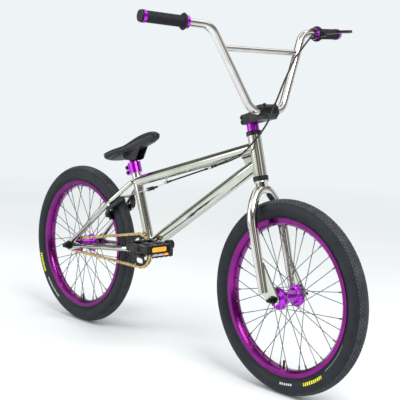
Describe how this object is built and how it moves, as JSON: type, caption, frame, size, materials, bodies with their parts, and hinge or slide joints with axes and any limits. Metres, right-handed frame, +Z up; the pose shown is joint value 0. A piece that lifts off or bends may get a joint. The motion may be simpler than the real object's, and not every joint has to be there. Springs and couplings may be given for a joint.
{
  "type": "bmx bike",
  "caption": "Small-wheel trick bike with polished tube frame, high-rise bar with crossbar, single-speed chain drive, platform pedals and a rear rim brake worked by a hand lever.",
  "frame": {"origin": "on the ground, midway between the two axles, in the bike's middle plane", "axes": "+X forward, +Y to the rider's left, +Z up"},
  "size_m": [1.42, 0.7458, 0.9753],
  "materials": {
    "polished_frame": "polished",
    "purple_anodised": "anodised",
    "black_alloy": "satin black",
    "black_steel": "satin black",
    "bearing_steel": "ground",
    "spoke_steel": "dark",
    "gold_chain": "gold coated",
    "black_cable": "satin",
    "tyre_rubber": "matt",
    "tube_rubber": "matt",
    "grip_rubber": "matt",
    "black_plastic": "matt",
    "saddle_cover": "matt"
  },
  "bodies": {
    "frame": {"head_tube": "polished_frame", "top_tube": "polished_frame", "down_tube": "polished_frame", "seat_tube": "polished_frame", "bb_shell": "polished_frame", "chain_stays": "polished_frame", "seat_stays": "polished_frame", "rear_dropouts": "polished_frame", "frame_fittings": "polished_frame", "headset_cups": "black_alloy", "headset_bearings": "bearing_steel", "bb_bearings": "bearing_steel", "seat_clamp": "purple_anodised", "seat_clamp_bolts": "black_steel", "rear_axle": "black_steel", "rear_axle_nuts": "black_steel", "chain": "gold_chain", "brake_cable": "black_cable"},
    "steering": {"fork_steerer": "polished_frame", "fork_blades": "polished_frame", "fork_dropouts": "polished_frame", "headset_spacer": "purple_anodised", "stem_body": "black_alloy", "stem_cap": "black_alloy", "stem_bolts": "black_steel", "handlebar": "polished_frame", "crossbar": "polished_frame", "grips": "grip_rubber", "grip_rings": "purple_anodised", "bar_end_plugs": "black_plastic", "lever_clamp": "black_alloy", "lever_barrel": "purple_anodised", "front_axle": "black_steel", "front_axle_nuts": "black_steel"},
    "front_wheel": {"front_tyre": "tyre_rubber", "front_tube": "tube_rubber", "front_rim": "purple_anodised", "front_spokes": "spoke_steel", "front_hub": "purple_anodised", "front_bearings": "bearing_steel"},
    "rear_wheel": {"rear_tyre": "tyre_rubber", "rear_tube": "tube_rubber", "rear_rim": "purple_anodised", "rear_spokes": "spoke_steel", "rear_hub": "purple_anodised", "rear_bearings": "bearing_steel"},
    "driver": {"driver_cog": "black_steel"},
    "cranks": {"crank_spindle": "black_steel", "crank_arms": "black_steel", "sprocket": "black_steel", "pedal_spindles": "black_steel"},
    "right_pedal": {"right_pedal": "black_plastic"},
    "left_pedal": {"left_pedal": "black_plastic"},
    "brake_lever": {"brake_lever": "black_alloy"},
    "left_brake_arm": {"brake_arm_left": "black_alloy"},
    "right_brake_arm": {"brake_arm_right": "black_alloy"},
    "brake_hanger": {"brake_hanger": "black_alloy"},
    "seat_post": {"seat_post": "black_alloy"},
    "saddle": {"saddle_base": "black_plastic", "saddle_pad": "saddle_cover"}
  },
  "joints": [
    {"name": "steering", "type": "hinge", "parent": "frame", "child": "steering", "pos_m": [0.42416, 0, 0.24873], "axis": [-0.2756, 0, 0.9613], "range_deg": [-75, 75], "deforming": ["brake_cable"]},
    {"name": "front_wheel_spin", "type": "hinge", "parent": "steering", "child": "front_wheel", "pos_m": [0.453, 0, 0.257], "axis": [0, 1, 0], "continuous": true},
    {"name": "rear_wheel_spin", "type": "hinge", "parent": "frame", "child": "rear_wheel", "pos_m": [-0.453, 0, 0.257], "axis": [0, 1, 0], "continuous": true},
    {"name": "crank_spin", "type": "hinge", "parent": "frame", "child": "cranks", "pos_m": [-0.10712, 0, 0.293], "axis": [0, 1, 0], "continuous": true, "deforming": ["chain"]},
    {"name": "driver_spin", "type": "hinge", "parent": "frame", "child": "driver", "pos_m": [-0.453, 0, 0.257], "axis": [0, 1, 0], "continuous": true},
    {"name": "right_pedal_spin", "type": "hinge", "parent": "cranks", "child": "right_pedal", "pos_m": [0.05629, 0, 0.33986], "axis": [0, 1, 0], "continuous": true},
    {"name": "left_pedal_spin", "type": "hinge", "parent": "cranks", "child": "left_pedal", "pos_m": [-0.27054, 0, 0.24614], "axis": [0, 1, 0], "continuous": true},
    {"name": "brake_lever_pull", "type": "hinge", "parent": "steering", "child": "brake_lever", "pos_m": [0.3239, 0.23901, 0.95026], "axis": [-0.183, -0.0857, 0.9794], "range_deg": [0, 22], "stiffness_Nm_per_rad": 0.5, "springref_deg": -11.46},
    {"name": "left_brake_arm_pivot", "type": "hinge", "parent": "frame", "child": "left_brake_arm", "pos_m": [-0.26307, 0.04, 0.40155], "axis": [-0.6639, 0, 0.7478], "range_deg": [0, 2.3]},
    {"name": "right_brake_arm_pivot", "type": "hinge", "parent": "frame", "child": "right_brake_arm", "pos_m": [-0.26307, -0.04, 0.40155], "axis": [0.6639, 0, -0.7478], "range_deg": [0, 2.3]},
    {"name": "hanger_travel", "type": "slide", "parent": "frame", "child": "brake_hanger", "axis": [0.9529, 0, 0.3032], "range_m": [0, 0.0025], "stiffness_N_per_m": 0.05, "springref_m": 0.54},
    {"name": "seat_post_height", "type": "slide", "parent": "frame", "child": "seat_post", "axis": [-0.3584, 0, 0.9336], "range_m": [0, 0.06]},
    {"name": "saddle_tilt", "type": "hinge", "parent": "seat_post", "child": "saddle", "pos_m": [-0.2132, 0, 0.56934], "axis": [0, 1, 0], "range_deg": [-10, 10]}
  ],
  "couplings": [
    {"joint": "driver_spin", "follows": "crank_spin", "ratio": 2.7778},
    {"joint": "left_brake_arm_pivot", "follows": "brake_lever_pull", "ratio": 0.104},
    {"joint": "right_brake_arm_pivot", "follows": "brake_lever_pull", "ratio": 0.104},
    {"joint": "hanger_travel", "follows": "brake_lever_pull", "m_per_rad": 0.0062}
  ]
}
